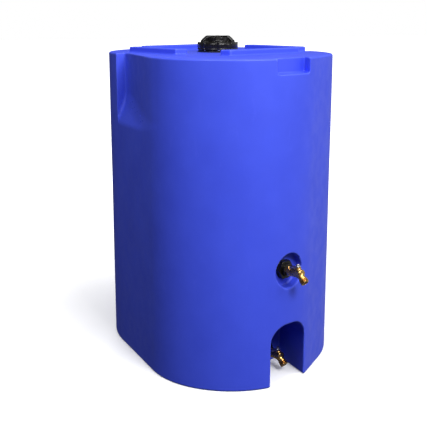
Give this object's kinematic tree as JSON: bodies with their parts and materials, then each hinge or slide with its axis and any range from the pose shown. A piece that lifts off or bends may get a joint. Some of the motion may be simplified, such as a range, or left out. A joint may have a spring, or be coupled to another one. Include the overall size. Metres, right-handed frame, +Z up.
{
  "type": "water storage tank",
  "caption": "Upright stackable plastic water tank with a black screw lid on top and brass lever ball taps with hose thread spouts low on the front.",
  "frame": {"origin": "on the floor under the centre of the tank's plan", "axes": "+Z up, -Y towards the taps, +X to the right seen from the tap side"},
  "size_m": [0.692, 1.0987, 1.0595],
  "materials": {
    "tank_plastic": "satin rotomoulded polyethylene",
    "black_plastic": "satin moulded",
    "brass": "cast and machined",
    "chrome": "polished",
    "lever_steel": "zinc plated",
    "stainless": "machined",
    "grip_vinyl": "dipped vinyl",
    "seat_plastic": "smooth",
    "rubber": "matt"
  },
  "bodies": {
    "tank": {"tank_shell": "tank_plastic", "fill_ring": "black_plastic", "fill_ring_gasket": "rubber", "fill_ring_screws": "stainless", "upper_bulkhead_body": "black_plastic", "upper_bulkhead_gasket": "rubber", "upper_bulkhead_nut": "black_plastic", "upper_tap_inlet": "brass", "upper_tap_body": "brass", "upper_ball_seats": "seat_plastic", "upper_stem_seal": "seat_plastic", "upper_packing_nut": "brass", "lower_bulkhead_body": "black_plastic", "lower_bulkhead_gasket": "rubber", "lower_bulkhead_nut": "black_plastic", "lower_tap_inlet": "brass", "lower_tap_body": "brass", "lower_ball_seats": "seat_plastic", "lower_stem_seal": "seat_plastic", "lower_packing_nut": "brass"},
    "lid_seal": {"lid_gasket": "rubber"},
    "lid": {"lid_cap": "black_plastic"},
    "upper_lever": {"upper_tap_ball": "chrome", "upper_tap_stem": "brass", "upper_tap_handle": "lever_steel", "upper_handle_grip": "grip_vinyl", "upper_handle_nut": "lever_steel"},
    "lower_lever": {"lower_tap_ball": "chrome", "lower_tap_stem": "brass", "lower_tap_handle": "lever_steel", "lower_handle_grip": "grip_vinyl", "lower_handle_nut": "lever_steel"}
  },
  "joints": [
    {"name": "lid_lift", "type": "slide", "parent": "tank", "child": "lid_seal", "axis": [0, 0, 1], "range_m": [0, 0.12]},
    {"name": "lid_turn", "type": "hinge", "parent": "lid_seal", "child": "lid", "pos_m": [0, 0, 1.034], "axis": [0, 0, 1], "range_deg": [0, 720]},
    {"name": "upper_tap_turn", "type": "hinge", "parent": "tank", "child": "upper_lever", "pos_m": [0.01334, -0.53915, 0.387], "axis": [0, 0, 1], "range_deg": [0, 90]},
    {"name": "lower_tap_turn", "type": "hinge", "parent": "tank", "child": "lower_lever", "pos_m": [0.03064, -0.39452, 0.067], "axis": [0, 0, 1], "range_deg": [0, 90]}
  ]
}
